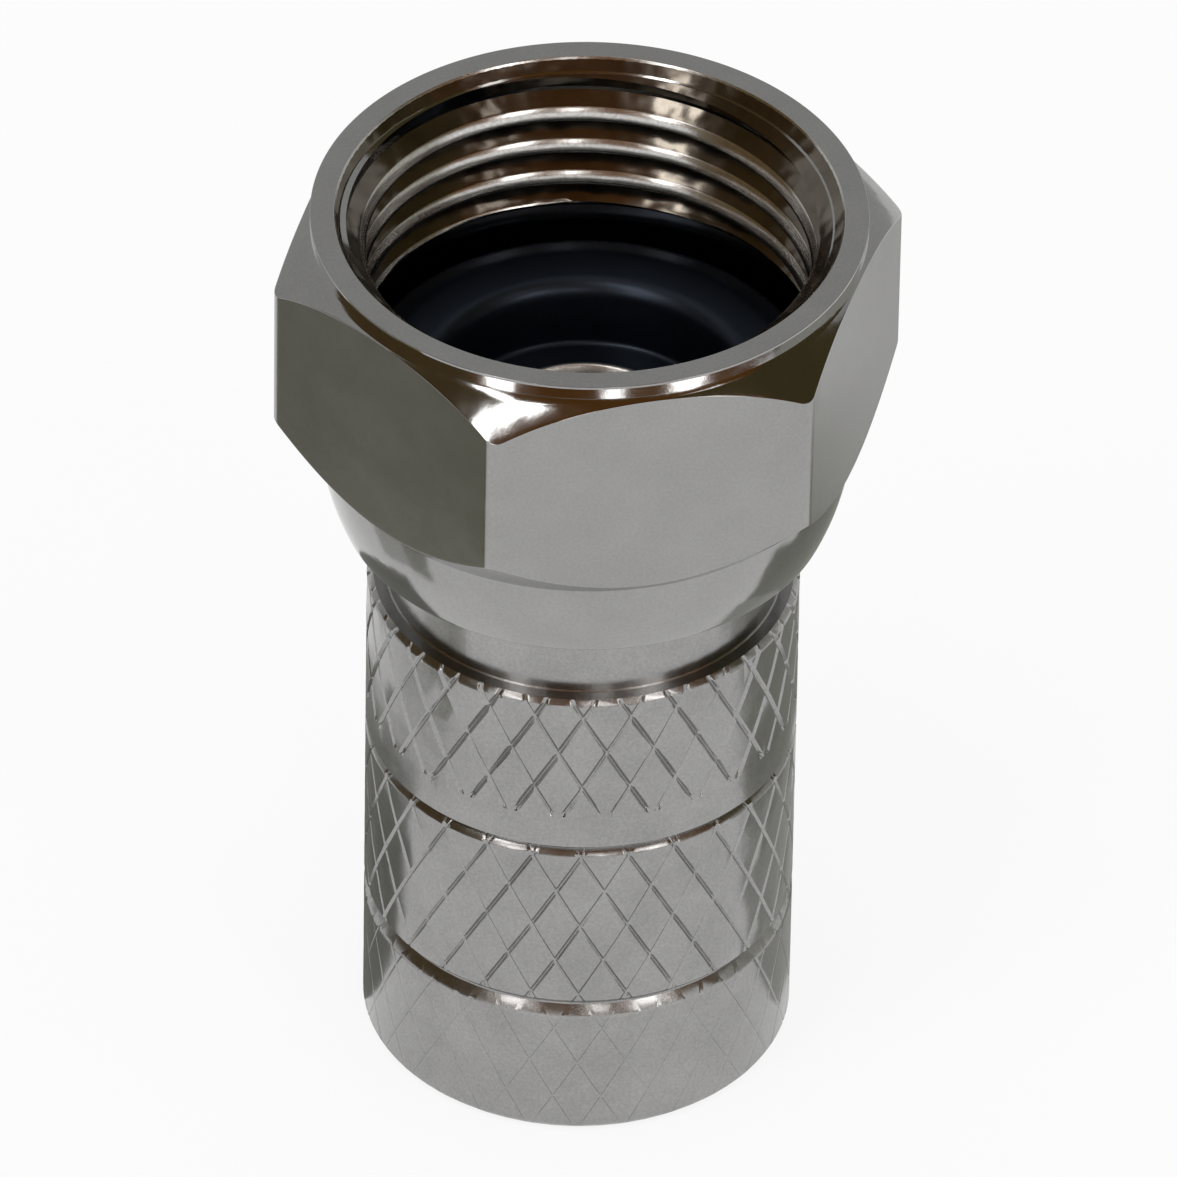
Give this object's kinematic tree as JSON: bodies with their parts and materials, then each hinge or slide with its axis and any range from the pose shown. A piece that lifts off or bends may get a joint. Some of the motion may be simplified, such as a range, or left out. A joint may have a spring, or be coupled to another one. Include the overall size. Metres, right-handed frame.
{
  "type": "twist-on f connector",
  "caption": "Twist-on coaxial plug: a free-turning hexagon nut with a screwed mouth, on a knurled sleeve that grips the cable.",
  "frame": {"origin": "centre of the sleeve's cable end, on the surface that the plug stands on", "axes": "+Z along the plug's axis out of the nut's mouth, and a flat of the hexagon faces -Y at rest"},
  "size_m": [0.0126, 0.011, 0.02],
  "materials": {
    "nut_plate": "bright nickel plate",
    "sleeve_plate": "bright nickel plate, knurled",
    "post_plate": "bright nickel plate",
    "seal_rubber": "smooth moulded black"
  },
  "bodies": {
    "body": {"sleeve": "sleeve_plate", "post": "post_plate", "seal": "seal_rubber"},
    "nut": {"coupling_nut": "nut_plate"}
  },
  "joints": [
    {"name": "nut_spin", "type": "hinge", "parent": "body", "child": "nut", "pos_m": [0, 0, 0.0136], "axis": [0, 0, 1], "continuous": true}
  ]
}
